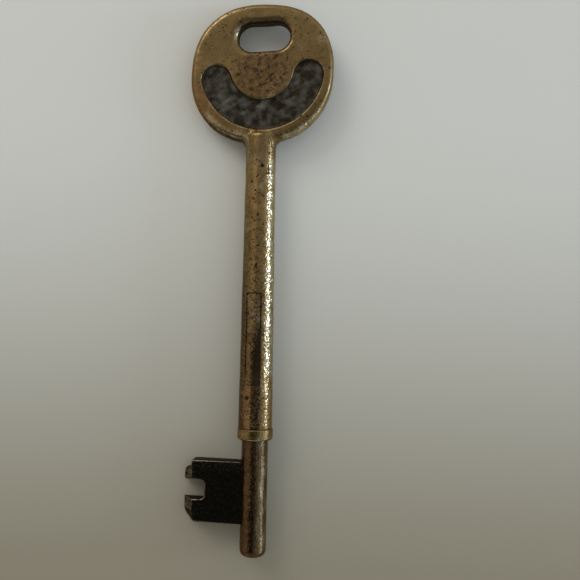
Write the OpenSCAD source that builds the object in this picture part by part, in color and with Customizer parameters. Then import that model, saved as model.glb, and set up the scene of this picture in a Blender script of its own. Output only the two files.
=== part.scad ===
// A flat-bowed brass lever key, lying face up.
// The key's axis runs along Y, with the bow at +Y. The bit points to -X, and the face with the crescent looks up +Z.
// The origin is on the axis, on the end face of the collar, where the key stops against the lock.

/* [Bow] */
// Width of the bow, across the key
bow_w = 25.4; // [23:0.1:30]
// Height of the bow, along the key
bow_h = 24.7; // [23:0.1:30]
// Thickness of the bow
bow_t = 3.6; // [3:0.1:5]
// Squareness of the outline's upper half: 2 is an ellipse, and more is squarer
bow_square_top = 2.35; // [2:0.05:2.8]
// Squareness of the outline's lower half
bow_square_low = 2.15; // [2:0.05:2.8]
// Rounding of the bow's outer edges
bow_edge_r = 0.9; // [0.3:0.05:1.2]
// How far the oval leans to the right, per unit of its height, as cast
bow_skew = 0.045; // [0:0.005:0.08]
// How far the ring slot and the crescent are turned off square, as cast
cast_lean = 3.5; // [0:0.5:6]

/* [Ring slot] */
// Length of the slot, across the bow
slot_l = 9.3; // [7:0.1:12]
// Width of the slot, along the key
slot_w = 5; // [4.4:0.1:6]
// Distance from the slot's centre to the top of the bow
slot_from_top = 5.9; // [5:0.1:7]
// Rounding of the slot's mouths
slot_mouth_r = 0.8; // [0.2:0.05:1]

/* [Crescent] */
// Radius of the tongue that the crescent goes round
crescent_in_r = 5.65; // [5:0.1:7]
// Radius of the crescent's outer wall
crescent_out_r = 11.2; // [10:0.1:11.4]
// Depth of the crescent
crescent_depth = 0.7; // [0.3:0.05:1.2]
// Slope of its walls, as the width that each gains from floor to face
crescent_draft = 0.3; // [0.05:0.05:0.5]
// Height of the crescent's centre over the bow's centre
crescent_up = 1.1; // [0.6:0.1:2]
// How far below level the centre of each round end lies, in degrees
crescent_droop = 13; // [5:1:30]

/* [Neck] */
// Length of neck between the bow's lowest edge and the shank
neck_l = 3.4; // [2.5:0.1:6]
// How far the round of the neck runs up over the bow
neck_reach = 2; // [1:0.1:2.2]
// Rounding of the neck's end on the bow
neck_end_r = 0.9; // [0.3:0.05:1.2]
// Fillet between the neck and the bow
neck_fillet_r = 1.5; // [0.8:0.1:2.5]

/* [Shank] */
// Length of the shank, from the collar's end face to the neck
shank_l = 49.4; // [40:0.1:70]
// Diameter of the shank at the neck
shank_top_d = 5.3; // [4.8:0.05:5.9]
// Diameter of the shank at the collar
shank_low_d = 6.1; // [5.8:0.05:7]
// Diameter of the tenon that is brazed into the neck
tenon_d = 3; // [2:0.1:3.4]
// Length of that tenon
tenon_l = 4; // [2:0.1:4.4]

/* [Stamping panel] */
// Length of the sunk panel on the shank
panel_l = 16.4; // [8:0.1:22]
// Distance from the collar's end face to the panel
panel_up = 9.8; // [5:0.1:14]
// Arc of the shank that the panel takes, in degrees
panel_arc = 60; // [30:1:90]
// How far the panel is turned from the face towards the bit, in degrees
panel_turn = 9; // [0:1:30]
// Depth of the panel
panel_depth = 0.25; // [0.1:0.05:0.5]

/* [Collar] */
// Diameter of the collar
collar_d = 6.35; // [6.2:0.05:8]
// Height of the collar
collar_h = 2; // [1:0.1:4]
// Rounding of the collar's edge at its end face
collar_edge_r = 0.4; // [0.1:0.05:0.6]
// Diameter of the shank's spigot inside the collar
spigot_d = 5.1; // [4.8:0.05:5.4]

/* [Pin] */
// Diameter of the pin
pin_d = 4.75; // [4.2:0.05:4.9]
// Length of the pin below the collar
pin_l = 20.9; // [18:0.1:26]
// Rounding of the pin's tip
pin_tip_r = 1.2; // [0.3:0.1:1.8]
// Diameter of the tang that is brazed into the shank
tang_d = 3; // [2:0.1:3.4]
// Length of that tang
tang_l = 12; // [6:0.1:16]

/* [Bit] */
// Reach of the bit from the key's axis
bit_reach = 12.8; // [10:0.1:15]
// Height of the bit, along the key
bit_h = 11.1; // [9:0.1:13]
// Thickness of the bit
bit_t = 3; // [2.2:0.1:3.6]
// Distance from the collar's end face to the bit
bit_drop = 4; // [2.5:0.1:5]
// Radius of the bit's outer corner next to the collar
bit_corner_r = 3; // [0.5:0.1:3.5]
// Radius of the bit's outer corner next to the tip
bit_tip_corner_r = 2.2; // [0.5:0.1:2.5]
// How far the bit's end slopes back from its rear face to its front face
bit_bevel = 1.7; // [0.2:0.1:2]
// How far the bit leans off square, as brazed on, in degrees
bit_lean = 1; // [0:0.5:4]
// Height of the ward notch in the bit's end
notch_h = 3.5; // [2:0.1:4]
// Depth of the ward notch
notch_depth = 4; // [2:0.1:5]
// Distance from the bit's upper edge to the notch
notch_drop = 3.5; // [2.5:0.1:4.5]
// Radius of the notch's inner corners
notch_corner_r = 0.9; // [0.2:0.1:1]
// Thickness of the tongue that the pin's slot takes
tongue_t = 1.6; // [1:0.1:2]
// Depth of that slot in the pin
tongue_depth = 1.4; // [0.8:0.1:1.6]

/* [Fits] */
// Gap that the braze fills round a tenon, a tang or the collar
braze_gap = 0.03; // [0.01:0.01:0.06]

/* [Hidden] */
$fn = 96;
// Facets of the small arcs in revolved profiles
profile_fn = 32;
// Overshoot of a cutter past the face that it opens
over = 1;

bow_low_y = shank_l + neck_l;
bow_y = bow_low_y + bow_h / 2;
slot_y = bow_h / 2 - slot_from_top;
neck_r = shank_top_d / 2;

// Points round the bow's outline, and steps in the rounding of its edges
outline_points = 96;
edge_steps = 4;
half_w = bow_w / 2;
half_h = bow_h / 2;
// Radius of the outline at its lowest point, near enough for the fillets of the neck
low_arc_r = 14;

// The fillet's arc runs this far into the neck and into the bow, so that it meets each at a clear edge
fillet_bite = 0.05;
fillet_x = neck_r + neck_fillet_r - fillet_bite;

crescent_mid_r = (crescent_in_r + crescent_out_r) / 2;
crescent_half_w = (crescent_out_r - crescent_in_r) / 2;

// Turns what is drawn about Z so that it runs along the key's axis, with the face side at local -Y
module along_key() {
    rotate([-90, 0, 0]) children();
}

// The bow's outline, drawn in by inset: a leaning superellipse whose upper half is squarer than its lower half
function bow_outline(inset) = [
    for (i = [0:outline_points - 1])
        let (
            a = 360 * i / outline_points,
            power = 2 / (a < 180 ? bow_square_top : bow_square_low),
            x = (half_w - inset) * sign(cos(a)) * abs(cos(a)) ^ power,
            y = (half_h - inset) * sign(sin(a)) * abs(sin(a)) ^ power
        )
        [x + bow_skew * y, y]
];

// Height of a fillet's centre on the side that side gives: the outline's lowest point lies off the axis, as it leans
function fillet_y(side) =
    bow_low_y + low_arc_r
    - sqrt((low_arc_r + neck_fillet_r - fillet_bite) ^ 2 - (fillet_x + side * bow_skew * half_h) ^ 2);

// The oval plate: one outline carried up through its thickness, drawn in round both edges
module bow_plate() {
    rounding = [for (k = [0:edge_steps]) 90 * k / edge_steps];
    levels = concat(
        [for (a = rounding) [bow_edge_r * (1 - sin(a)), bow_edge_r * (1 - cos(a)) - bow_t / 2]],
        [for (a = rounding) [bow_edge_r * (1 - cos(a)), bow_t / 2 - bow_edge_r * (1 - sin(a))]]
    );
    top = len(levels) - 1;
    points = [for (level = levels) for (p = bow_outline(level[0])) [p[0], p[1], level[1]]];
    sides = [
        for (k = [0:top - 1])
            for (i = [0:outline_points - 1])
                let (
                    next = (i + 1) % outline_points,
                    low = k * outline_points,
                    high = low + outline_points
                )
                each [
                    [low + i, high + i, high + next],
                    [low + i, high + next, low + next],
                ]
    ];
    floor_face = [for (i = [0:outline_points - 1]) i];
    face = [for (i = [0:outline_points - 1]) (top + 1) * outline_points - 1 - i];
    polyhedron(points = points, faces = concat([floor_face, face], sides));
}

// What rounding a mouth takes off beside a wall at x = wall, below a face at y = 0
module mouth_profile(wall) {
    difference() {
        translate([wall - slot_w / 4, -slot_mouth_r]) square([slot_w / 4 + slot_mouth_r, slot_mouth_r + over]);
        translate([wall + slot_mouth_r, -slot_mouth_r]) circle(r = slot_mouth_r, $fn = profile_fn);
    }
}

module slot_mouth() {
    end_x = (slot_l - slot_w) / 2;
    for (side = [-1, 1]) {
        translate([side * end_x, 0, 0])
            rotate([0, 0, -side * 90])
                rotate_extrude(angle = 180) mouth_profile(slot_w / 2);
        rotate([90, 0, 90 * side])
            translate([0, 0, -end_x])
                linear_extrude(2 * end_x) mouth_profile(slot_w / 2);
    }
}

// The opening for a key ring, with rounded mouths on both faces
module ring_slot() {
    end_x = (slot_l - slot_w) / 2;
    linear_extrude(bow_t + 2 * over, center = true) {
        square([2 * end_x, slot_w], center = true);
        for (side = [-1, 1]) translate([side * end_x, 0]) circle(d = slot_w);
    }
    translate([0, 0, bow_t / 2]) slot_mouth();
    mirror([0, 0, 1]) translate([0, 0, bow_t / 2]) slot_mouth();
}

// The sunk crescent round the tongue, open at the face and a little wider there than at its floor
module crescent() {
    cut_h = crescent_depth + over;
    slope = crescent_draft / crescent_depth * cut_h;
    rotate([0, 0, 180 + crescent_droop])
        rotate_extrude(angle = 180 - 2 * crescent_droop)
            polygon([
                [crescent_in_r + crescent_draft, 0],
                [crescent_out_r - crescent_draft, 0],
                [crescent_out_r - crescent_draft + slope, cut_h],
                [crescent_in_r + crescent_draft - slope, cut_h],
            ]);
    for (angle = [180 + crescent_droop, -crescent_droop]) {
        rotate([0, 0, angle])
            translate([crescent_mid_r, 0, 0])
                cylinder(
                    h = cut_h,
                    r1 = crescent_half_w - crescent_draft,
                    r2 = crescent_half_w - crescent_draft + slope
                );
    }
}

// Round neck that carries the bow, with its end rounded where it dies out on the bow
module neck() {
    neck_top = neck_l + neck_reach;
    translate([0, shank_l, 0]) along_key() {
        cylinder(r = neck_r, h = neck_top - neck_end_r);
        rotate_extrude() {
            square([neck_r - neck_end_r, neck_top]);
            translate([neck_r - neck_end_r, neck_top - neck_end_r]) circle(r = neck_end_r);
        }
    }
}

// Web that fills the corners between the neck and the bow, each with a concave fillet
module neck_web() {
    web_top = bow_low_y + neck_reach;
    linear_extrude(bow_t - 2 * bow_edge_r, center = true)
        for (side = [-1, 1])
            translate([0, fillet_y(side)]) difference() {
                translate([min(side * fillet_x, -side * neck_r / 2), 0])
                    square([fillet_x + neck_r / 2, web_top - fillet_y(side)]);
                translate([side * fillet_x, 0]) circle(r = neck_fillet_r);
            }
}

module bow() {
    color("#8a7042")
    difference() {
        union() {
            translate([0, bow_y, 0]) bow_plate();
            neck();
            neck_web();
        }
        translate([bow_skew * slot_y, bow_y + slot_y, 0]) rotate([0, 0, cast_lean]) ring_slot();
        translate([bow_skew * crescent_up, bow_y + crescent_up, bow_t / 2 - crescent_depth])
            rotate([0, 0, cast_lean])
                crescent();
        translate([0, shank_l - over, 0]) along_key()
            cylinder(d = tenon_d + 2 * braze_gap, h = over + tenon_l + braze_gap);
    }
}

// The sunk panel: a shallow cut that keeps the shank's own curve and taper in its floor
module stamping_panel() {
    low_r = shank_low_d / 2;
    fall = (low_r - neck_r) / (shank_l - collar_h);
    r_low = low_r - fall * (panel_up - collar_h);
    r_top = r_low - fall * panel_l;
    rotate([0, 0, -90 - panel_turn - panel_arc / 2])
        rotate_extrude(angle = panel_arc)
            polygon([
                [r_low - panel_depth, panel_up],
                [r_low + over, panel_up],
                [r_top + over, panel_up + panel_l],
                [r_top - panel_depth, panel_up + panel_l],
            ]);
}

module shank() {
    color("#7d6640")
    along_key() difference() {
        union() {
            cylinder(d = spigot_d, h = collar_h);
            translate([0, 0, collar_h])
                cylinder(d1 = shank_low_d, d2 = shank_top_d, h = shank_l - collar_h);
            translate([0, 0, shank_l]) cylinder(d = tenon_d, h = tenon_l);
        }
        translate([0, 0, -over]) cylinder(d = tang_d + 2 * braze_gap, h = over + tang_l + braze_gap);
        stamping_panel();
    }
}

module collar() {
    color("#94804e")
    along_key() difference() {
        rotate_extrude() {
            translate([0, collar_edge_r]) square([collar_d / 2, collar_h - collar_edge_r]);
            square([collar_d / 2 - collar_edge_r, collar_h]);
            translate([collar_d / 2 - collar_edge_r, collar_edge_r]) circle(r = collar_edge_r);
        }
        translate([0, 0, -over]) cylinder(d = spigot_d + 2 * braze_gap, h = collar_h + 2 * over);
    }
}

// The blade's root: a tongue that fills the slot sawn in the pin, or the slot itself with its clearance
module tongue(gap) {
    slot_floor = pin_d / 2 - tongue_depth;
    translate([-bit_reach / 2, -bit_h - gap, -tongue_t / 2 - gap])
        cube([bit_reach / 2 - slot_floor + gap, bit_h + 2 * gap, tongue_t + 2 * gap]);
}

module bit_place() {
    translate([0, -bit_drop, 0]) rotate([0, 0, -bit_lean]) children();
}

module pin() {
    color("#6b5638")
    difference() {
        translate([0, -pin_l, 0]) along_key() {
            rotate_extrude() intersection() {
                union() {
                    translate([0, pin_tip_r]) square([pin_d / 2, pin_l - pin_tip_r]);
                    square([pin_d / 2 - pin_tip_r, pin_l]);
                    translate([pin_d / 2 - pin_tip_r, pin_tip_r]) circle(r = pin_tip_r);
                }
                square([pin_d / 2, pin_l]);
            }
            translate([0, 0, pin_l]) cylinder(d = tang_d, h = tang_l);
        }
        bit_place() tongue(braze_gap);
    }
}

// The blade's outline, with its root on the key's axis and its upper edge on X
module blade_outline() {
    difference() {
        union() {
            wide_r = max(bit_corner_r, bit_tip_corner_r);
            translate([wide_r - bit_reach, -bit_h]) square([bit_reach - wide_r, bit_h]);
            translate([-bit_reach, bit_tip_corner_r - bit_h])
                square([bit_reach, bit_h - bit_corner_r - bit_tip_corner_r]);
            translate([bit_corner_r - bit_reach, -wide_r]) square([wide_r, wide_r]);
            translate([bit_tip_corner_r - bit_reach, -bit_h]) square([wide_r, wide_r]);
            translate([bit_corner_r - bit_reach, -bit_corner_r]) circle(r = bit_corner_r);
            translate([bit_tip_corner_r - bit_reach, bit_tip_corner_r - bit_h]) circle(r = bit_tip_corner_r);
        }
        translate([-bit_reach, -notch_drop - notch_h]) {
            translate([-over, 0]) square([over + notch_depth - notch_corner_r, notch_h]);
            translate([-over, notch_corner_r]) square([over + notch_depth, notch_h - 2 * notch_corner_r]);
            for (y = [notch_corner_r, notch_h - notch_corner_r]) {
                translate([notch_depth - notch_corner_r, y]) circle(r = notch_corner_r);
            }
        }
    }
}

// What filing the blade's end back takes off, from nothing at the rear face to bit_bevel at the front face
module end_bevel() {
    slope = bit_bevel / bit_t * over;
    translate([-bit_reach, over, 0])
        rotate([90, 0, 0])
            linear_extrude(bit_h + 2 * over)
                polygon([
                    [-over, -bit_t / 2],
                    [0, -bit_t / 2],
                    [bit_bevel + slope, bit_t / 2 + over],
                    [-over, bit_t / 2 + over],
                ]);
}

module bit() {
    color("#2f2a1e") {
        difference() {
            bit_place() difference() {
                linear_extrude(bit_t, center = true) blade_outline();
                end_bevel();
            }
            translate([0, over, 0]) along_key() mirror([0, 0, 1])
                cylinder(d = pin_d + 2 * braze_gap, h = pin_l + 2 * over);
            translate([0, -pin_l, -bit_t]) cube([bit_reach, pin_l + over, 2 * bit_t]);
        }
        bit_place() tongue(0);
    }
}

bow();
shank();
collar();
pin();
bit();
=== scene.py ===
import bpy, bmesh, math
import numpy as np
from mathutils import Matrix, Vector


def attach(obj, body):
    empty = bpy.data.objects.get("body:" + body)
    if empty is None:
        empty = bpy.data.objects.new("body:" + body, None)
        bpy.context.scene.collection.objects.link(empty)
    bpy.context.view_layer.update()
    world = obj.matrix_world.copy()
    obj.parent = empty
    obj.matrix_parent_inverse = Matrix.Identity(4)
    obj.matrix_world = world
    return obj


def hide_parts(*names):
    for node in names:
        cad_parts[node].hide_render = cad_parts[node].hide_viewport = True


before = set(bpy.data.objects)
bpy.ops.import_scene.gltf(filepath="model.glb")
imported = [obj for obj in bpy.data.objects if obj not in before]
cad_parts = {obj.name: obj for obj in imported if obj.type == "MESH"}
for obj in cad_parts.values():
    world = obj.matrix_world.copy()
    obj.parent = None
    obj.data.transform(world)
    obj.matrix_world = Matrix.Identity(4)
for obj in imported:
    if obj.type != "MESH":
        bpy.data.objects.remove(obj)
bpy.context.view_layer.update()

# Camera. It hangs 156 mm over the key, which lies on a table and is turned a little:
# five degrees about its own axis, with the bit's side lower, and one degree in the picture.
# The key's origin stands left of the middle of the picture and below it.
view_distance = 0.156
picture_width = 0.10382
origin_in_view = Vector((-0.00628, -0.02667, 0))
sensor = 36
turn_in_picture, turn_on_axis = math.radians(-1.2), math.radians(-5)
turn = Matrix.Rotation(turn_in_picture, 3, "Z") @ Matrix.Rotation(turn_on_axis, 3, "Y")
camera = bpy.data.objects.new("camera", bpy.data.cameras.new("camera"))
camera.data.sensor_width = sensor
camera.data.lens = sensor * view_distance / picture_width
camera.data.clip_start = 0.005
to_key = turn.transposed()
camera.matrix_world = (
    Matrix.Translation(to_key @ (Vector((0, 0, view_distance)) - origin_in_view)) @ to_key.to_4x4()
)
bpy.context.scene.collection.objects.link(camera)
bpy.context.scene.camera = camera
bpy.context.scene.view_settings.view_transform = "Standard"


# Table and light. The key lies on a plain pale table top, on its collar and on the back of its bow,
# which leans to the bit's side. Cool daylight comes low from two windows on the right and softly
# from one beyond the bow, and whoever stands at the pin's end keeps the light above it off.
def add(tree, kind, values=None, **settings):
    """A shader node with its settings, whose sockets take a number, a colour or another node's output."""
    made = tree.nodes.new("ShaderNode" + kind)
    for key, value in settings.items():
        setattr(made, key, value)
    for key, value in (values or {}).items():
        if isinstance(value, bpy.types.NodeSocket):
            tree.links.new(value, made.inputs[key])
        else:
            made.inputs[key].default_value = value
    return made


def ramp(tree, value, low, high, least=0.0, most=1.0, shape="LINEAR"):
    """Rise from least to most while the value goes from low to high, and level beyond them."""
    ends = {0: value, 1: low, 2: high, 3: least, 4: most}
    return add(tree, "MapRange", ends, interpolation_type=shape).outputs[0]


def maths(tree, operation, *values):
    """A Math node's result."""
    return add(tree, "Math", dict(enumerate(values)), operation=operation).outputs[0]


def mixed(tree, share, first, second):
    """The first colour where the share is 0, and the second where it is 1."""
    return add(tree, "Mix", {0: share, 6: first, 7: second}, data_type="RGBA").outputs[2]


def lamp(name, place, aim, size, strength, tint):
    """An oblong area light at place that faces aim, of that radiance."""
    light = bpy.data.lights.new(name, "AREA")
    light.shape = "RECTANGLE"
    light.size, light.size_y = size
    light.energy = strength * size[0] * size[1] * math.pi
    light.color = tint
    made = bpy.data.objects.new(name, light)
    made.location = place
    made.rotation_euler = (Vector(aim) - Vector(place)).to_track_quat("-Z", "Y").to_euler()
    made.visible_camera = False
    bpy.context.scene.collection.objects.link(made)


lamp(
    "window", place=(0.62, 0.045, 0.065), aim=(0, 0.03, 0), size=(0.15, 0.14), strength=19, tint=(0.62, 0.78, 1.0),
)
lamp(
    "near_window", place=(0.6, -0.22, 0.08), aim=(0, 0, 0), size=(0.13, 0.13), strength=5, tint=(0.72, 0.88, 1.0),
)
lamp(
    "far_window", place=(-0.3, 0.5, 0.4), aim=(0, 0.06, 0), size=(0.34, 0.3), strength=3.6, tint=(0.97, 1, 1),
)

world = bpy.data.worlds.new("room")
world.use_nodes = True
room = world.node_tree
room.nodes.clear()


def fade(value, low, high, least, most):
    """Smooth rise in the room's light from least to most while the value goes from low to high."""
    return ramp(room, value, low, high, least, most, "SMOOTHSTEP")


way = add(room, "TexCoord").outputs["Generated"]
right, far, _ = add(room, "SeparateXYZ", {0: way}).outputs
plain_light, dark = 0.4, 0.005
low_wall = maths(room, "MULTIPLY", fade(right, -0.98, -0.5, 0.05, 0.3), fade(right, -0.42, -0.18, 1.0, 0.0))
low_wall = maths(room, "MULTIPLY", low_wall, fade(far, 0.16, 0.3, 1.0, 0.3))
beyond_bow = fade(far, 0.12, 0.6, 0.0, 0.35)
by_window = maths(room, "ADD", fade(right, -0.15, 0.2, 0.0, 0.08), fade(right, 0.5, 0.95, 0.0, 0.37))
ceiling = maths(room, "ADD", maths(room, "ADD", low_wall, plain_light), beyond_bow)
ceiling = maths(room, "ADD", ceiling, by_window)
person_slant, person_place = -1.3, 0.2
from_person = maths(room, "SUBTRACT", maths(room, "MULTIPLY_ADD", far, person_slant, right), person_place)
beside_person = fade(maths(room, "ABSOLUTE", from_person), 0.4, 0.52, dark, 1.0)
past_person = maths(room, "MAXIMUM", fade(far, -0.1, 0.0, dark, 1.0), fade(far, -0.65, -0.45, 1.0, dark))
shade = maths(room, "MAXIMUM", past_person, beside_person)
warm_side, cool_side = (1, 0.91, 0.76, 1), (0.92, 0.98, 1, 1)
daylight = mixed(room, fade(right, -0.6, 0.7, 0.0, 1.0), warm_side, cool_side)
lit = add(room, "Background", {"Color": daylight, "Strength": maths(room, "MULTIPLY", ceiling, shade)})
add(room, "OutputWorld", {0: lit.outputs[0]})
bpy.context.scene.world = world

mm_per_m = 1000
up = to_key @ Vector((0, 0, 1))
under_collar, under_bow, collar_y, rest_span = -3.18, -2.83, 1, 63.6
table_half = 3000
corners = []
for side_x, side_y in ((-1, -1), (1, -1), (1, 1), (-1, 1)):
    x, y = side_x * table_half, side_y * table_half
    level = under_collar + (under_bow - under_collar) * (y - collar_y) / rest_span
    corners.append((x / mm_per_m, y / mm_per_m, (level - up.x * x) / up.z / mm_per_m))
top = bpy.data.meshes.new("table_top")
top.from_pydata(corners, [], [(0, 1, 2, 3)])
table = bpy.data.objects.new("table_top", top)
bpy.context.scene.collection.objects.link(table)
paint = bpy.data.materials.new("table_paint")
paint.use_nodes = True
coat = paint.node_tree
painted = coat.nodes["Principled BSDF"]
along = add(coat, "SeparateXYZ", {0: add(coat, "TexCoord").outputs["Object"]}).outputs[1]
# The table's colour is painted shade: it grows darker and yellower towards the pin's end, under whoever stands
# there.
shaded_near_end, pale = (0.3, 0.27, 0.2, 1), (0.72, 0.725, 0.69, 1)
farther = ramp(coat, along, -0.035, 0.06, shape="SMOOTHSTEP")
coat.links.new(mixed(coat, farther, shaded_near_end, pale), painted.inputs["Base Color"])
painted.inputs["Roughness"].default_value = 0.7
table.data.materials.append(paint)


# Bow. One brass casting: an oval plate with a slot for the key ring, a sunk crescent on its face
# that was left rough from the mould, and the round neck that carries it. The edges are rubbed
# smooth by years in a pocket, and dirt has stayed in the crescent and in the pits.
def step(low, high, value):
    """Smooth rise from 0 at low to 1 at high: three t squared less two t cubed."""
    t = np.clip((value - low) / (high - low), 0, 1)
    return t * t * (3 - 2 * t)


def grain(points, size, seed, waves=40):
    """Smooth random relief about zero with a spread of one: a sum of plane waves in random
    directions, whose lengths lie round size, over the root of half their number."""
    rng = np.random.default_rng(seed)
    direction = rng.normal(size=(3, waves))
    direction *= 2 * np.pi / (np.linalg.norm(direction, axis=0) * size * rng.uniform(0.7, 1.5, waves))
    phase = rng.uniform(0, 2 * np.pi, waves)
    return np.cos(points @ direction + phase).sum(-1) / (waves / 2) ** 0.5


def spaced(path, count, closed=False):
    """count points at equal steps along a flat path, or round it if closed: its length is summed
    up, and each coordinate is read off at equal shares of it."""
    if closed:
        path = np.vstack([path, path[:1]])
    run = np.append(0, np.cumsum(np.linalg.norm(np.diff(path, axis=0), axis=1)))
    share = np.arange(count) / count * run[-1] if closed else np.linspace(0, run[-1], count)
    return np.stack([np.interp(share, run, path[:, k]) for k in range(2)], -1)


def leftward(path):
    """Unit vectors to the left of a closed flat path: each the turned chord of its two neighbours."""
    chord = np.roll(path, -1, 0) - np.roll(path, 1, 0)
    chord /= np.linalg.norm(chord, axis=1, keepdims=True)
    return np.stack([-chord[:, 1], chord[:, 0]], -1)


def outward(grid):
    """Unit normals of a grid that closes both ways: the cross product of its two central differences."""
    normal = np.cross(np.roll(grid, -1, 1) - np.roll(grid, 1, 1), np.roll(grid, -1, 0) - np.roll(grid, 1, 0))
    return normal / (np.linalg.norm(normal, axis=-1, keepdims=True) + 1e-12)


# Marks on the points: the mark for worn metal is in places painted highlight, and the darkening mark is dirt and
# in places painted shade.
mark_names = ("wear", "grime", "copper", "pitting", "dust", "peen")
merge_distance = 1e-7


def skin(name, grid, closed, **marks):
    """The mesh through grid[row, column], in millimetres: one quad between each four neighbours,
    round every row, and from the last row to the first if closed. Points that fall together are
    merged, and each mark, 0 where it isn't given, becomes a value on the points."""
    rows, columns = grid.shape[:2]
    row, column = np.meshgrid(np.arange(rows if closed else rows - 1), np.arange(columns), indexing="ij")
    below, beside = (row + 1) % rows, (column + 1) % columns
    corner = (row * columns + column, row * columns + beside, below * columns + beside, below * columns + column)
    quads = np.stack(corner, -1).reshape(-1, 4)
    mesh = bpy.data.meshes.new(name)
    mesh.from_pydata((grid.reshape(-1, 3) / mm_per_m).tolist(), [], quads.tolist())
    for mark in mark_names:
        value = np.broadcast_to(np.clip(marks.get(mark, 0), 0, 1), (rows, columns))
        layer = mesh.attributes.new(mark, "FLOAT", "POINT")
        layer.data.foreach_set("value", value.astype(np.float32).ravel())
    shell = bmesh.new()
    shell.from_mesh(mesh)
    bmesh.ops.remove_doubles(shell, verts=shell.verts, dist=merge_distance)
    bmesh.ops.recalc_face_normals(shell, faces=shell.faces)
    shell.to_mesh(mesh)
    shell.free()
    mesh.shade_smooth()
    piece = bpy.data.objects.new(name, mesh)
    bpy.context.scene.collection.objects.link(piece)
    return piece


def old_brass(name, deep, mid, bright, dirt_and_shade, gloss, cloud_size, pit_size, dents, gleam=0.3):
    """Brass with a brown skin: mid tone clouded with the deep one, reddened where the copper mark
    says so, turned to the bright one where the mark for worn metal says so, which in places is
    painted highlight, turned to the dark tone where the darkening mark says so, which is soiling in
    hollows and pits and in places painted shade, with grey dust in it where the dust mark says so,
    eaten by small dark pits, the more the pitting mark says, and dented all over, the more the peen
    mark says. gloss is the roughness of skin, worn metal and the dark tone. Sizes in millimetres."""
    deep, mid, bright, dirt_and_shade = ((*tone, 1) for tone in (deep, mid, bright, dirt_and_shade))
    red = (mid[0] * 1.1, mid[1] * 0.8, mid[2] * 0.75, 1)
    grey_dust = (0.116, 0.114, 0.098, 1)
    uneven, dust_uneven, pit_black, dark_metal = 0.18, 0.35, 0.85, 0.65
    made = bpy.data.materials.new(name)
    made.use_nodes = True
    tree = made.node_tree
    shader = tree.nodes["Principled BSDF"]
    place = add(tree, "TexCoord").outputs["Object"]

    def noise(size, detail, roughness):
        """A noise of that size in millimetres, about a half."""
        settings = {"Vector": place, "Scale": mm_per_m / size, "Detail": detail, "Roughness": roughness}
        return add(tree, "TexNoise", settings).outputs[0]

    cloud, speck, flake = noise(cloud_size, 4, 0.6), noise(pit_size, 1, 0.5), noise(pit_size / 2.2, 2, 0.6)
    mark = {key: add(tree, "Attribute", attribute_name=key).outputs["Fac"] for key in mark_names}
    tone = mixed(tree, ramp(tree, cloud, 0.35, 0.65), deep, mid)
    tone = mixed(tree, mark["copper"], tone, red)
    spread = ramp(tree, speck, 0.3, 0.7, -uneven, uneven)
    # Worn metal and painted highlight brighten the colour here, and dirt and painted shade darken it.
    rubbed_and_lit = ramp(tree, maths(tree, "ADD", mark["wear"], spread), 0.25, 0.85)
    tone = mixed(tree, rubbed_and_lit, tone, bright)
    dirty_and_shaded = ramp(tree, maths(tree, "SUBTRACT", mark["grime"], spread), 0.1, 0.85)
    pit = ramp(tree, maths(tree, "MULTIPLY_ADD", mark["pitting"], 0.3, speck), 0.68, 0.86, 0.0, pit_black)
    black = maths(tree, "MAXIMUM", dirty_and_shaded, pit)
    dark_and_dusty = mixed(tree, maths(tree, "MULTIPLY_ADD", spread, dust_uneven, mark["dust"]), dirt_and_shade, grey_dust)
    tree.links.new(mixed(tree, black, tone, dark_and_dusty), shader.inputs["Base Color"])
    smooth = ramp(tree, rubbed_and_lit, 0.0, 1.0, gloss[0], gloss[1])
    rough = add(tree, "Mix", {0: black, 2: smooth, 3: gloss[2]}).outputs[0]
    tree.links.new(rough, shader.inputs["Roughness"])
    tree.links.new(ramp(tree, black, 0.0, 1.0, 1.0, dark_metal), shader.inputs["Metallic"])
    peened = maths(tree, "MULTIPLY", maths(tree, "MULTIPLY_ADD", speck, 1.6, flake), mark["peen"])
    height = maths(tree, "MULTIPLY_ADD", pit, -0.5, peened)
    bump = add(tree, "Bump", {"Height": height, "Strength": 1.0, "Distance": dents / mm_per_m}).outputs[0]
    tree.links.new(bump, shader.inputs["Normal"])
    shader.inputs["Specular IOR Level"].default_value = gleam
    shader.inputs["Specular Tint"].default_value = (1, 0.86, 0.62, 1)
    return made


plate_half_w, plate_half_h, plate_half_t, plate_y = 12.7, 12.35, 1.8, 65.15
square_top, square_low = 2.35, 2.15
plate_edge, plate_skew, low_arc_r = 0.9, 0.045, 14
neck_r, neck_foot, neck_end, neck_end_r, fillet_r = 2.65, 49.0, 54.8, 0.9, 1.5
foot_ease, foot_ease_end = 0.03, 49.7
slot_l, slot_w, slot_y, mouth_r, lean = 9.3, 5.0, 71.6, 0.8, math.radians(3.5)
crown_w, crown_drop = 1.8, 0.09
crescent_y, crescent_mid, crescent_half, crescent_depth, droop = 66.25, 8.425, 2.775, 0.7, math.radians(13)
around, round_rows, face_rows, back_rows, rim_rows, wall_rows = 680, 8, 84, 18, 3, 6


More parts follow.
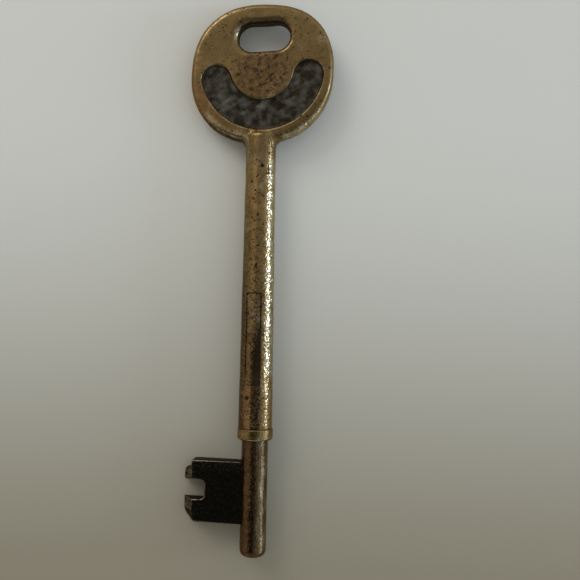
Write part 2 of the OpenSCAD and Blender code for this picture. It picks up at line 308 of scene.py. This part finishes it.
def half_outline(side):
    """One half of the bow seen flat, from the foot of the neck to the top: foot, side of the neck,
    hollow fillet, then a superellipse that is squarer above and leans as its height grows."""
    low_x = side * plate_skew * plate_half_h
    fillet_x, arc_y = neck_r + fillet_r, plate_y - plate_half_h + low_arc_r
    fillet_y = arc_y - math.sqrt((low_arc_r + fillet_r) ** 2 - (fillet_x + low_x) ** 2)
    swing = np.linspace(math.pi, math.atan2(arc_y - fillet_y, -fillet_x - low_x), 60)
    fillet = np.stack([fillet_x + fillet_r * np.cos(swing), fillet_y + fillet_r * np.sin(swing)], -1)
    angle = np.radians(np.linspace(-80, 90, 700))
    power = 2 / np.where(angle > 0, square_top, square_low)
    height = plate_half_h * np.sign(angle) * np.abs(np.sin(angle)) ** power
    out = plate_half_w * np.abs(np.cos(angle)) ** power + side * plate_skew * height
    keep = (out > fillet[-1, 0]) | (angle > 0)
    oval = np.stack([out, plate_y + height], -1)[keep]
    return np.vstack([[[0, neck_foot], [neck_r, neck_foot]], fillet, oval]) * [side, 1]


def plate_outline():
    """The bow seen flat: the right half from the foot up, then the left half down, eased a little."""
    path = spaced(np.vstack([half_outline(1), half_outline(-1)[-2:0:-1]]), around, closed=True)
    for _ in range(3):
        path = (np.roll(path, 1, 0) + 2 * path + np.roll(path, -1, 0)) / 4
    return path


def slot_outline():
    """The ring slot seen flat, from the middle of its lower side round to the right: two straights
    and two half circles, leaning as the casting does."""
    swing = np.radians(np.linspace(-90, 90, 90))
    end_x = (slot_l - slot_w) / 2
    end = np.stack([end_x + slot_w / 2 * np.cos(swing), slot_w / 2 * np.sin(swing)], -1)
    path = np.vstack([[[0, -slot_w / 2]], end, end[::-1] * [-1, 1]])
    tilt = np.array([[math.cos(lean), math.sin(lean)], [-math.sin(lean), math.cos(lean)]])
    return spaced(path @ tilt + [plate_skew * (slot_y - plate_y), slot_y], around, closed=True)


def from_crescent(flat):
    """Distance to the crescent's edge, negative inside: to a ring below its centre, and to the
    round end on either side."""
    x, y = flat[..., 0] - plate_skew * (crescent_y - plate_y), flat[..., 1] - crescent_y
    across, along = x * math.cos(lean) + y * math.sin(lean), y * math.cos(lean) - x * math.sin(lean)
    ring = np.abs(np.hypot(across, along) - crescent_mid)
    end = np.hypot(np.abs(across) - crescent_mid * math.cos(droop), along + crescent_mid * math.sin(droop))
    return np.where(along < -np.abs(across) * math.tan(droop), ring, end) - crescent_half


def neck_height(flat):
    """Height of the neck's round over the middle plane: a circle's, drawn in where its end is
    rounded and, a little, at its foot."""
    x, y = flat[..., 0], flat[..., 1]
    past = np.clip(y - (neck_end - neck_end_r), 0, neck_end_r)
    end_round = np.sqrt(np.maximum(neck_end_r**2 - past**2, 0))
    radius = neck_r - neck_end_r + end_round - foot_ease * step(foot_ease_end, neck_foot, y)
    return np.where(y < neck_end, np.sqrt(np.maximum(radius**2 - x**2, 0)), 0)


outline, slot = plate_outline(), slot_outline()
inward, away = leftward(outline), -leftward(slot)
quarter = np.radians(np.linspace(0, 90, round_rows))[:, None, None]
rise, sink = np.sin(quarter), np.cos(quarter)
dish = mouth_r * (1 + 0.8 * step(0.1, -0.9, away[:, :1]) + 0.3 * step(0.0, 0.95, away[:, 1:]))
mouth_edge, rim_edge = slot + away * dish, outline + inward * plate_edge
beyond_reach = 9


def plate_side(rows):
    """One side of the plate, from the slot's wall to the rim's: the mouth's quarter round, the
    face, where lines run straight from mouth to rim, and the rim's quarter round. Towards the rim
    the face falls off as the square of the way, most at its lower end. Gives the points seen flat,
    their height, how far round an edge they are, whether they are on the face, and how far they
    are inside the rim's edge."""
    share = (np.arange(1, rows + 1) / (rows + 1))[:, None, None]
    mouth = slot + away * dish * (1 - sink)
    face = mouth_edge + (rim_edge - mouth_edge) * share
    rim = outline + inward * plate_edge * (1 - sink[::-1])
    flat = np.concatenate([mouth, face, rim])
    turned_up, turned_down = 1 - rise[:, 0, 0], 1 - rise[::-1, 0, 0]
    level = plate_half_t - np.concatenate([mouth_r * turned_up, np.zeros(rows), plate_edge * turned_down])
    edge = np.concatenate([turned_up, np.zeros(rows), turned_down])
    width = np.linalg.norm(rim_edge - mouth_edge, axis=1)
    inside = np.concatenate([
        np.full((round_rows, around), beyond_reach),
        (1 - share[:, :, 0]) * width,
        np.repeat(-plate_edge * sink[::-1, :, 0], around, 1),
    ])
    reach = np.maximum(1 - inside / crown_w, 0)
    crown = np.where(inside > 0, reach**2, 2 * reach - 1) * crown_drop
    crown *= 0.35 + 0.65 * step(62, 57, flat[..., 1])
    on_face = step(0, 0.05, share[:, 0, 0]) * step(1, 0.93, share[:, 0, 0])
    on_face = np.concatenate([np.zeros(round_rows), on_face, np.zeros(round_rows)])
    return flat, level[:, None] - crown, np.repeat(edge[:, None], around, 1), on_face[:, None], inside


def with_neck(flat, level):
    """The plate's height, which fades out down the neck, and the neck's, joined by a smooth maximum."""
    plate = level * step(51.0, 53.4, flat[..., 1])
    neck = neck_height(flat)
    soft = 0.1 + 0.6 * step(50.5, 53, flat[..., 1])
    mix = np.clip(0.5 + 0.5 * (plate - neck) / soft, 0, 1)
    return plate * mix + neck * (1 - mix) + soft * mix * (1 - mix)


def gathered(flat, on_face, wall_in=0.15, strength=0.6, width=0.6, probe=1e-3):
    """The face's points drawn towards the crescent's wall, so that its bend is sharp: each goes
    down the distance's slope by its gap to the wall's middle, wall_in inside the edge, times a bell
    curve of the gap. The slope is the central difference over two probes."""
    slope = np.stack([
        from_crescent(flat + shift) - from_crescent(flat - shift) for shift in np.eye(2) * probe
    ], -1) / (2 * probe)
    gap = from_crescent(flat) + wall_in
    return flat - slope * (gap * strength * np.exp(-((gap / width) ** 2)) * on_face)[..., None]


face_flat, face_level, face_edge, on_face, face_inside = plate_side(face_rows)
face_flat = gathered(face_flat, on_face)
near = from_crescent(face_flat)
sunk = step(0.05, -0.33, near)
face = np.dstack([face_flat, with_neck(face_flat, face_level) - crescent_depth * sunk])
back_flat, back_level, back_edge, _, _ = plate_side(back_rows)
back = np.dstack([back_flat, -with_neck(back_flat, back_level)])[::-1]
rim_wall = np.linspace(face[-1], back[0], rim_rows + 2)[1:-1]
slot_wall = np.linspace(back[-1], face[0], wall_rows + 2)[1:-1]
bow_grid = np.concatenate([face, rim_wall, back, slot_wall])


def in_parts(*values):
    """A value at every point of the bow's grid, from one value or array for each of its parts:
    the face, the rim's wall, the back and the slot's wall."""
    parts = zip(values, (face, rim_wall, back, slot_wall))
    return np.concatenate([np.broadcast_to(np.asarray(value, float), part.shape[:2]) for value, part in parts])


def side_push(rows):
    """The directions in which one side's points are pushed: into the slot and up round the mouth,
    straight up on the face, and outwards and up round the rim."""
    mouth_push = np.dstack([-away * sink * mouth_r / dish, np.repeat(rise, around, 1)])
    rim_push = np.dstack([-inward * sink[::-1], np.repeat(rise[::-1], around, 1)])
    push = np.concatenate([mouth_push, np.broadcast_to([0.0, 0.0, 1.0], (rows, around, 3)), rim_push])
    return push / np.linalg.norm(push, axis=-1, keepdims=True)


rim_out, slot_in = (np.column_stack([-side, np.zeros(around)])[None] for side in (inward, away))
push = np.concatenate([
    side_push(face_rows), np.repeat(rim_out, rim_rows, 0),
    (side_push(back_rows) * [1, 1, -1])[::-1], np.repeat(slot_in, wall_rows, 0),
])
hollow = in_parts(sunk, 0, 0, 0)
edges = in_parts(face_edge, 0.8, back_edge[::-1], 0)
tongue_edge = in_parts(np.exp(-(((near - 0.03) / 0.14) ** 2)), 0, 0, 0)
in_slot = in_parts(0, 0, 0, 1)
mouth = in_parts(face_edge * (np.arange(len(face_edge)) < round_rows)[:, None], 0, 0, 0)
edges_in = in_parts(face_inside, -2, -2, beyond_reach)

rough, fine = grain(bow_grid, 1.1, 3), grain(bow_grid, 0.5, 4)
bow_x, bow_y = bow_grid[..., 0], bow_grid[..., 1]
on_plate = step(51.5, 53.5, bow_y)
tongue = step(6.2, 3.6, np.hypot(bow_x - 0.2, (bow_y - 65.4) * 1.05)) * (1 - hollow)
pits = np.maximum(fine + 0.5 * rough - 2.1, 0) * (1 - hollow)
hammered = step(1.0, 2.0, bow_x) * step(56, 53, bow_y) * (1 - hollow)
beaten_rim = step(0.3, -0.1, edges_in) * step(3, 5, bow_x) * step(61, 57, bow_y) * on_plate
relief = (
    0.02 * grain(bow_grid, 5, 1) + 0.004 * rough - 0.06 * np.minimum(pits, 1.2) - 0.03
    + hollow * (0.015 * rough + 0.006 * fine + 0.05 * grain(bow_grid, 2.2, 2))
)
relief = relief * on_plate + 0.02 * fine * hammered + 0.02 * (fine - 1) * beaten_rim
mid_face_row = 40
round_way = outward(bow_grid)
round_way *= np.sign(round_way[mid_face_row, 0, 2])
bow_grid = bow_grid + relief[..., None] * np.where(on_plate[..., None] > 0.5, push, round_way)

far_left = step(-2, -9, bow_x) * step(66, 60, bow_y)
low_rim = step(60, 56, bow_y) * on_plate
worn_left = np.exp(-(((edges_in - 0.2) / 0.7) ** 2)) * low_rim * step(1, -3, bow_x)
# The slot's upper mouth is darkened and reddened: partly dirt on its wall, partly painted shade of the slot's
# shadowed inside that it mirrors.
upper_mouth = mouth**0.6 * step(-0.3, 0.5, away[:, 1]) * step(-1.0, -0.8, away[:, 0])
left_mouth = step(0.02, 0.2, mouth) * step(-0.6, -0.85, away[:, 0]) * step(-0.5, 0.2, away[:, 1])
# The lower rim's outer edge is darkened and not brightened as painted shade, the shaded table beside it that it
# mirrors.
low_edge = step(0.03, 0.3, edges * (1 - mouth)) * low_rim * step(4, 1, bow_x)
cast_tone = 0.2 * grain(bow_grid, 2.4, 5) + 0.04 * fine + 0.1 * rough
bow = skin(
    "bow_and_neck", bow_grid, True,
    wear=(
        (0.12 * edges * on_plate * (1 - mouth) + 0.22 * tongue_edge) * (1 - low_edge)
        + 0.6 * worn_left + 0.5 * left_mouth + 0.4 * beaten_rim
        + 0.1 + 0.26 * (1 - on_plate) + 0.1 * grain(bow_grid, 3, 8) * (1 - hollow)
    ),
    grime=(
        0.95 * hollow + 1.5 * np.minimum(pits, 1) + 0.4 * tongue * (1 + 0.25 * fine + 0.35 * rough)
        + 0.8 * in_slot + 0.3 * mouth * (1 - left_mouth) + 1.05 * upper_mouth + 0.7 * low_edge
    ),
    copper=0.45 * tongue + 0.45 * far_left + 0.1 * rough + 0.9 * upper_mouth,
    pitting=0.32 + 0.22 * tongue + 0.1 * rough,
    dust=hollow * (0.28 + cast_tone),
    peen=0.16 + 0.4 * tongue + 0.8 * hammered,
)
bow.data.materials.append(old_brass(
    "bow_brass", deep=(0.162, 0.109, 0.046), mid=(0.224, 0.153, 0.067), bright=(0.47, 0.39, 0.24),
    dirt_and_shade=(0.019, 0.015, 0.01), gloss=(0.3, 0.22, 0.55), cloud_size=3.5, pit_size=0.4, dents=0.03,
))
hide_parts("bow")
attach(bow, "root")


# Shank. A round brass bar turned with a slight taper, thicker at the collar, with a spigot for the
# collar, a bore for the pin's tang and a tenon in the neck. A shallow panel is pressed into its
# face, and its skin is peened and pitted by use. Its lower part and left side are darkened with
# painted shade, the panel's edges are lined darker at the top and right with painted shadow, and
# the bright band down its right side is partly painted highlight.
hidden, whole = 2.0, 9


def profile(*corners, spacing=0.12):
    """Points down a turned outline, each corner given as place along the axis and radius: every
    straight is cut into equal steps of about spacing, or of the third number of its far corner,
    which is hidden where none of it shows and whole where it is one step."""
    points = [np.array(corners[0][:2], float)[None]]
    for low, high in zip(corners[:-1], corners[1:]):
        count = max(1, int(math.dist(low[:2], high[:2]) / (high[2] if len(high) > 2 else spacing)))
        points.append(np.linspace(low[:2], high[:2], count + 1)[1:])
    return np.vstack(points)


def rounding(centre, radius, start, end, steps=6):
    """Corners of an arc in a turned outline, about a centre along the axis and at a radius."""
    angle = np.radians(np.linspace(start, end, steps + 1))
    return [(centre[0] + radius * math.sin(a), centre[1] + radius * math.cos(a), whole) for a in angle]


def signed(degrees):
    """The same angle from minus 180 to 180 degrees."""
    return (degrees + 180) % 360 - 180


def turned(points, columns):
    """The outline swung round the key's axis: at each angle from the face towards the right, the
    radius times its sine across and times its cosine upwards. Gives each column's degrees from the
    face too, negative on the left."""
    angle = np.arange(columns) / columns * 2 * np.pi
    along, radius = points[:, :1], points[:, 1:]
    grid = np.stack(np.broadcast_arrays(radius * np.sin(angle), along, radius * np.cos(angle)), -1)
    return grid, signed(np.degrees(angle))


def radius_of(grid):
    """Distance from the key's axis."""
    return np.hypot(grid[..., 0], grid[..., 2])


def swollen(grid, relief):
    """The turned grid with the relief added to its radius: across and upwards times one plus
    relief over radius, which counts as 0.5 nearer the axis."""
    scale = 1 + relief / np.maximum(radius_of(grid), 0.5)
    return grid * np.stack([scale, np.ones_like(scale), scale], -1)


tang_bore_l, tang_bore_r, spigot_l, spigot_r = 12.03, 1.53, 2, 2.55
shank_low_r, shank_top_r, shank_end, tenon_end, tenon_r = 3.05, 2.66, 49.5, 53.4, 1.5
shank_grid, shank_turn = turned(profile(
    (tang_bore_l, 0), (tang_bore_l, tang_bore_r, hidden), (0, tang_bore_r, hidden),
    (0, 2.5, hidden), (0.05, spigot_r, hidden), (spigot_l, spigot_r, hidden),
    (spigot_l, 3.0, 0.2), (2.05, shank_low_r), (48.8, shank_top_r), (shank_end, 2.6, 0.06),
    (shank_end, tenon_r, 0.5), (tenon_end, tenon_r, hidden), (tenon_end, 0, hidden),
), columns=190)
shank_y, shank_r = shank_grid[..., 1], radius_of(shank_grid)
showing = step(2.5, 2.62, shank_r)
panel_turn, panel_half_arc, panel_low, panel_top, panel_depth = -9, 30, 9.8, 26.2, 0.25
from_panel = signed(shank_turn - panel_turn)
panel_in = np.minimum(
    np.radians(panel_half_arc - np.abs(from_panel)) * shank_r, np.minimum(shank_y - panel_low, panel_top - shank_y)
)
panel = step(-0.03, 0.12, panel_in) * step(panel_low, panel_low + 2.5, shank_y) * showing
panel_line = np.exp(-(((panel_in - 0.1) / 0.1) ** 2)) * showing
# The panel's edge lines are dirt in the joint, made darker at the top and on the right as painted shadow cast by
# the recess's walls.
right_shadow_line = step(5, 25, from_panel) * step(11, 14, shank_y)
line_dirt_and_shadow = 0.25 + 0.65 * np.maximum(step(25.5, 26, shank_y), right_shadow_line) + 0.2 * step(-20, -29, from_panel)

coarse, fine = grain(shank_grid, 1.1, 11), grain(shank_grid, 0.5, 12)
# The shank's lower part is more pitted and peened by use, and is also darkened there with painted shade, under
# whoever stands over the pin's end.
used_and_shaded = step(42, 26, shank_y)
turned_left, turned_right = step(-20, -75, shank_turn), step(25, 60, shank_turn)
beaten = step(26, 40, shank_turn) * step(130, 110, shank_turn) * step(3, 14, shank_y)
# Scars, each by its place along the axis, its degrees from the face, half its length and half its width.
scars = np.array([
    (48.6, 13, 0.3, 0.3), (48.3, 38, 0.55, 0.13), (47.4, 41, 0.5, 0.12), (45.8, -26, 0.2, 0.2),
    (44.2, -10, 0.16, 0.18), (42.6, -18, 0.12, 0.14), (34.5, 4, 0.14, 0.14), (30.9, -2, 0.32, 0.16),
    (15.4, -11, 0.22, 0.2), (7.6, -25, 0.24, 0.24),
])
mean_r = 2.8
away_along = (shank_y[..., None] - scars[:, 0]) / scars[:, 2]
away_round = np.radians(signed(shank_turn[..., None] - scars[:, 1])) * mean_r / scars[:, 3]
scar = np.exp(-(away_along**2) - away_round**2).max(-1) * showing
pits = np.maximum(fine + 0.6 * coarse - 1.9 - 0.4 * used_and_shaded, 0) + 1.3 * scar
shank_grid = swollen(shank_grid, showing * (
    0.015 * grain(shank_grid, 6, 10) + 0.003 * coarse + (0.004 + 0.003 * used_and_shaded + 0.016 * beaten) * fine
    - 0.02 * beaten - 0.07 * np.minimum(pits, 1) - panel_depth * panel - 0.02
))
# A dark stripe down the middle below the panel: painted reflection of whoever stands over the pin's end.
painted_dark_stripe = step(-15, -9, shank_turn) * step(32, 12, shank_turn) * step(10.2, 9.4, shank_y) * showing
# The panel's lower part is darkened: patina in the recess and painted shade, the reflection of whoever stands over
# the pin's end.
low_panel_patina_and_shade = step(-0.03, 0.12, panel_in) * step(25, 13, shank_y) * step(-26, 24, from_panel)
mottled = np.maximum(fine + 0.25 * coarse, 0) * (1 - turned_right) * (0.35 + 0.65 * used_and_shaded)
shank = skin(
    "shank_bar", shank_grid, False,
    wear=(
        # The band down the right side is brightened: partly worn metal, partly painted highlight where the
        # window's light falls.
        0.14 + 0.1 * grain(shank_grid, 2.5, 13) + 0.5 * step(27, 46, shank_turn) * step(4, 14, shank_y)
        + 0.2 * panel * step(15, 22, shank_y)
    ),
    grime=(
        1.2 * panel_line * line_dirt_and_shadow + 1.6 * np.minimum(pits, 1) + 1.05 * low_panel_patina_and_shade + 0.45 * painted_dark_stripe
        # Darker on the left side, partly patina and partly painted shade of the shaded table that it mirrors, and
        # darker over the lower part with painted shade.
        + 0.25 * turned_left + (0.18 * (1 - turned_right) + 0.4 * turned_left) * used_and_shaded
        + 0.3 * step(2.5, 2.0, shank_y) + 0.24 * mottled
    ),
    copper=0.55 * used_and_shaded * step(22, 12, shank_y) * step(8, -22, shank_turn) + 0.15 * coarse,
    pitting=0.4 + 0.15 * used_and_shaded + 0.1 * coarse,
    peen=0.12 + 0.25 * turned_right,
)
shank.data.materials.append(old_brass(
    "shank_brass", deep=(0.2, 0.13, 0.054), mid=(0.31, 0.21, 0.092), bright=(0.52, 0.45, 0.31),
    dirt_and_shade=(0.022, 0.015, 0.008), gloss=(0.2, 0.12, 0.3), cloud_size=2.5, pit_size=0.4, dents=0.03,
))
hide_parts("shank")
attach(shank, "root")


# Collar. A turned brass ring, brazed on the shank's spigot, that stops the key against the lock.
# It is smoother and yellower than the shank, with a rounded lower edge.
collar_r, collar_h, collar_bore_r, collar_edge_r, collar_foot_r = 3.175, 2.0, 2.58, 0.4, 2.775
collar_grid, collar_turn = turned(profile(
    *rounding((collar_edge_r, collar_foot_r), collar_edge_r, -90, 0),
    (1.9, collar_r, 0.1), (collar_h, 3.08, 0.05),
    (collar_h, collar_bore_r, 0.1), (0, collar_bore_r, 0.5), (0, collar_foot_r, 0.1),
)[:-1], columns=190)
relief = 0.012 * grain(collar_grid, 3, 20) + 0.004 * grain(collar_grid, 0.5, 21) - 0.02
collar_grid = swollen(collar_grid, step(2.7, 3.0, radius_of(collar_grid)) * relief)
collar_y = collar_grid[..., 1]
collar = skin(
    "collar_ring", collar_grid, True,
    wear=0.17 + 0.2 * grain(collar_grid, 1.5, 22) + 0.3 * step(0.5, 0.15, collar_y),
    grime=0.35 * step(1.8, 1.98, collar_y) * (1 + grain(collar_grid, 1.5, 23)) + 0.3 * step(-30, -80, collar_turn),
    copper=0.5 * step(-10, -40, collar_turn),
    pitting=0.2 + 0.1 * grain(collar_grid, 1, 24),
    peen=0.5,
)
collar.data.materials.append(old_brass(
    "collar_brass", deep=(0.17, 0.115, 0.044), mid=(0.25, 0.178, 0.075), bright=(0.46, 0.38, 0.22),
    dirt_and_shade=(0.02, 0.016, 0.011), gloss=(0.27, 0.2, 0.35), cloud_size=2.0, pit_size=0.36, dents=0.02,
))
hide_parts("collar")
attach(collar, "root")


# Pin. The slim round end that goes into the lock, with its tip rounded over and a tang brazed into
# the shank. It is browner than the shank and scored along its length.
pin_r, pin_tip, tip_round_y, tip_round_r, tip_flat_r = 2.375, -20.9, -19.7, 1.2, 1.175
tang_r, tang_end = 1.5, 12
pin_grid, pin_turn = turned(profile(
    (pin_tip, 0), (pin_tip, tip_flat_r, 0.2), *rounding((tip_round_y, tip_flat_r), tip_round_r, -90, 0, 9),
    (-0.02, pin_r), (0, 2.3, 0.1), (0, tang_r, 0.4), (tang_end, tang_r, hidden), (tang_end, 0, hidden),
), columns=170)
showing = step(1.6, 2.0, radius_of(pin_grid))
coarse, fine = grain(pin_grid, 1.0, 31), grain(pin_grid * [1, 0.6, 1], 0.45, 32)
pits = np.maximum(fine + 0.4 * coarse - 2.1, 0)
relief = 0.01 * grain(pin_grid, 5, 30) + 0.003 * coarse + 0.008 * fine - 0.03 * np.minimum(pits, 1.5) - 0.02
pin_grid = swollen(pin_grid, showing * relief)
pin_y = pin_grid[..., 1]
pin = skin(
    "pin_rod", pin_grid, False,
    wear=(
        # The right side is brightened as painted highlight where the window's light falls; the tip is worn.
        0.08 + 0.25 * step(10, 40, pin_turn) + 0.12 * grain(pin_grid * [1, 0.4, 1], 1.6, 33)
        + 0.25 * step(-19.8, -20.8, pin_y)
    ),
    # Dirt in the pits; darker towards the collar as dirt at the joint and painted shadow under the collar's edge,
    # and darker on the left flank as painted shade of the shaded table that it mirrors.
    grime=1.1 * np.minimum(pits, 1) + 0.5 * step(-1.2, 0, pin_y) * showing + 0.3 * step(-45, -75, pin_turn),
    copper=0.5 * step(10, -20, pin_turn),
    pitting=0.5 + 0.08 * coarse,
    peen=0.6,
)
pin.data.materials.append(old_brass(
    "pin_brass", deep=(0.075, 0.048, 0.023), mid=(0.135, 0.09, 0.048), bright=(0.36, 0.3, 0.2),
    dirt_and_shade=(0.011, 0.008, 0.005), gloss=(0.21, 0.17, 0.32), cloud_size=1.6, pit_size=0.34, dents=0.025,
))
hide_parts("pin")
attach(pin, "root")


# Bit. A flat blade brazed into a slot in the pin, with one ward notch sawn into its end. The end is
# filed back at a slope and left rough, and the faces are nearly black.
bit_reach, bit_h, bit_half_t, bit_drop, bit_root, bit_lean = 12.93, 11.1, 1.5, 4.0, 1.7, math.radians(-1)
tip_corner_r, notch_h, notch_depth, notch_drop, notch_r = 2.2, 3.5, 4.13, 3.5, 0.9
bevel, blade_edge, corner_soft, tip_drop = 1.85, 0.3, 0.4, 0.5
shear_top, shear_full, shear_half, shear_less, shear_from = -7.4, -8.2, -11.2, -9.8, -8.2
steps_along, blade_rows, edge_rows, lead_rows = 330, 34, 6, 90


def bend(centre, radius, start, end):
    """An arc in the blade's plane."""
    angle = np.radians(np.linspace(start, end, 24))
    return np.stack([centre[0] + radius * np.cos(angle), centre[1] + radius * np.sin(angle)], -1)


def eased(path, rounds=3):
    """The open path with its corners cut: each straight gives its points at a quarter and three quarters."""
    for _ in range(rounds):
        cut = np.stack([0.75 * path[:-1] + 0.25 * path[1:], 0.25 * path[:-1] + 0.75 * path[1:]], 1)
        path = np.vstack([path[:1], cut.reshape(-1, 2), path[-1:]])
    return path


notch_top, notch_low, notch_x = -notch_drop, -notch_drop - notch_h, -bit_reach + notch_depth
inner_way = spaced(np.vstack([
    [[-bit_reach, notch_top]], bend((notch_x - notch_r, notch_top - notch_r), notch_r, 90, 0),
    bend((notch_x - notch_r, notch_low + notch_r), notch_r, 0, -90), [[-bit_reach, notch_low]],
]), steps_along)
broken_corner = eased(np.array([
    [0, -3.3], [0, -2.6], [0.5, -1.7], [1.6, -1.4], [1.75, -1.0], [1.75, -0.15], [2.3, 0], [3.3, 0],
]))
outer_way = spaced(np.vstack([
    broken_corner - [bit_reach, 0], [[-bit_root, 0], [-bit_root, -bit_h]],
    bend((-bit_reach + tip_corner_r, -bit_h + tip_corner_r), tip_corner_r, 270, 180),
]), steps_along)
share = np.linspace(0, 1, blade_rows + 2)[1:-1, None, None]
edge_turn = np.radians(np.linspace(0, 90, edge_rows))[:, None, None]
rounded = bit_half_t - blade_edge * (1 - np.sin(edge_turn[:, 0, 0]))
front_z = np.concatenate([rounded, np.full(blade_rows, bit_half_t), rounded[::-1]])[:, None]
row = np.arange(steps_along)
lead = np.clip(1 - np.minimum(row, steps_along - 1 - row) / lead_rows, 0, 1)


def shaped(path, through):
    """The path at a share of the blade's thickness: the lower prong is sheared, and what stands
    past the slope is drawn back to it by a smooth maximum."""
    x, y = path[..., 0], path[..., 1]
    low_prong = step(shear_top, shear_full, y) * (0.5 + 0.5 * step(shear_half, shear_less, y))
    x = x + bevel * through * low_prong * step(shear_from, -bit_reach, x)
    filed = -bit_reach + bevel * through - x
    mix = np.clip(0.5 + filed / corner_soft, 0, 1)
    return np.stack(np.broadcast_arrays(x + filed * mix + corner_soft / 2 * mix * (1 - mix), y), -1)


def blade_side(side):
    """The blade's front for a side of 1, or its back for -1: straight lines from the notch's outline
    to the outer one, both shaped, with a quarter round at either end. The first and last points of
    the notch's outline start farther in, so that they keep their steps where the end is cut back."""
    through = side * front_z / (2 * bit_half_t) + 0.5
    inner_side = shaped(inner_way + (bevel * through * lead)[..., None] * [1, 0], through)
    across = shaped(outer_way, through) - inner_side
    pull = blade_edge / np.maximum(np.linalg.norm(across, axis=-1, keepdims=True), 2.2 * blade_edge)
    part = np.concatenate([
        pull[:edge_rows] * (1 - np.cos(edge_turn)),
        pull[edge_rows:-edge_rows] + (1 - 2 * pull[edge_rows:-edge_rows]) * share,
        1 - pull[-edge_rows:] * (1 - np.cos(edge_turn[::-1])),
    ])
    return np.dstack([inner_side + across * part, np.repeat(side * front_z, steps_along, 1)])


blade_grid = np.swapaxes(np.concatenate([blade_side(1), blade_side(-1)[::-1]]), 0, 1)
middle_line = blade_grid.mean(1, keepdims=True)
closing = (0.0, 0.25, 0.5, 0.75, 0.92)
first_cap = [middle_line[:1] + (blade_grid[:1] - middle_line[:1]) * k for k in closing]
last_cap = [middle_line[-1:] + (blade_grid[-1:] - middle_line[-1:]) * k for k in closing[::-1]]
blade_grid = np.concatenate(first_cap + [blade_grid] + last_cap)

blade_x, blade_y, blade_z = (blade_grid[..., k] for k in range(3))
end_rough = step(0.09, 0.02, blade_x + bit_reach - bevel * (blade_z / (2 * bit_half_t) + 0.5))
tip = step(-11.6, -12.6, blade_x) * step(-2.6, -3.4, blade_y) * step(-4.5, -3.7, blade_y)
blade_y -= tip_drop * tip * step(0.6, -1.2, blade_z)
coarse, fine = grain(blade_grid, 1.2, 41), grain(blade_grid, 0.45, 42)
blade_x += end_rough * (0.12 * np.abs(coarse) + 0.14 * np.abs(fine))
rounded_off = step(bit_half_t, 1.48, np.abs(blade_z))
blade_z += 0.012 * coarse * np.sign(blade_z)
blade_y += blade_x * math.tan(bit_lean) - bit_drop
# A thin light line along the front's edges, except near the root: rubbed edges and painted highlight along them.
edge_line = step(1.3, 1.4, blade_z) * rounded_off * step(-2.0, -2.4, blade_x)
near_edge = np.maximum(step(-6.4, -4.2, blade_y), 0.8 * step(-9.6, -11.5, blade_x))
bit = skin(
    "bit_blade", blade_grid, False,
    wear=0.85 * end_rough + 0.5 * edge_line + 0.4 * fine * end_rough,
    grime=(1 - end_rough) * (1 - edge_line) * (1.3 - 0.25 * near_edge),
    copper=0.6 * end_rough,
    pitting=0.2 + 0.8 * end_rough + 0.1 * coarse,
    dust=0.05 * near_edge * (1 + fine),
    peen=0.4 + 0.5 * end_rough,
)
bit.data.materials.append(old_brass(
    "bit_brass", deep=(0.03, 0.024, 0.013), mid=(0.06, 0.048, 0.027), bright=(0.33, 0.29, 0.22),
    dirt_and_shade=(0.003, 0.003, 0.002), gloss=(0.4, 0.3, 0.55), cloud_size=1.8, pit_size=0.36, dents=0.02, gleam=0.12,
))
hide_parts("bit")
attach(bit, "root")
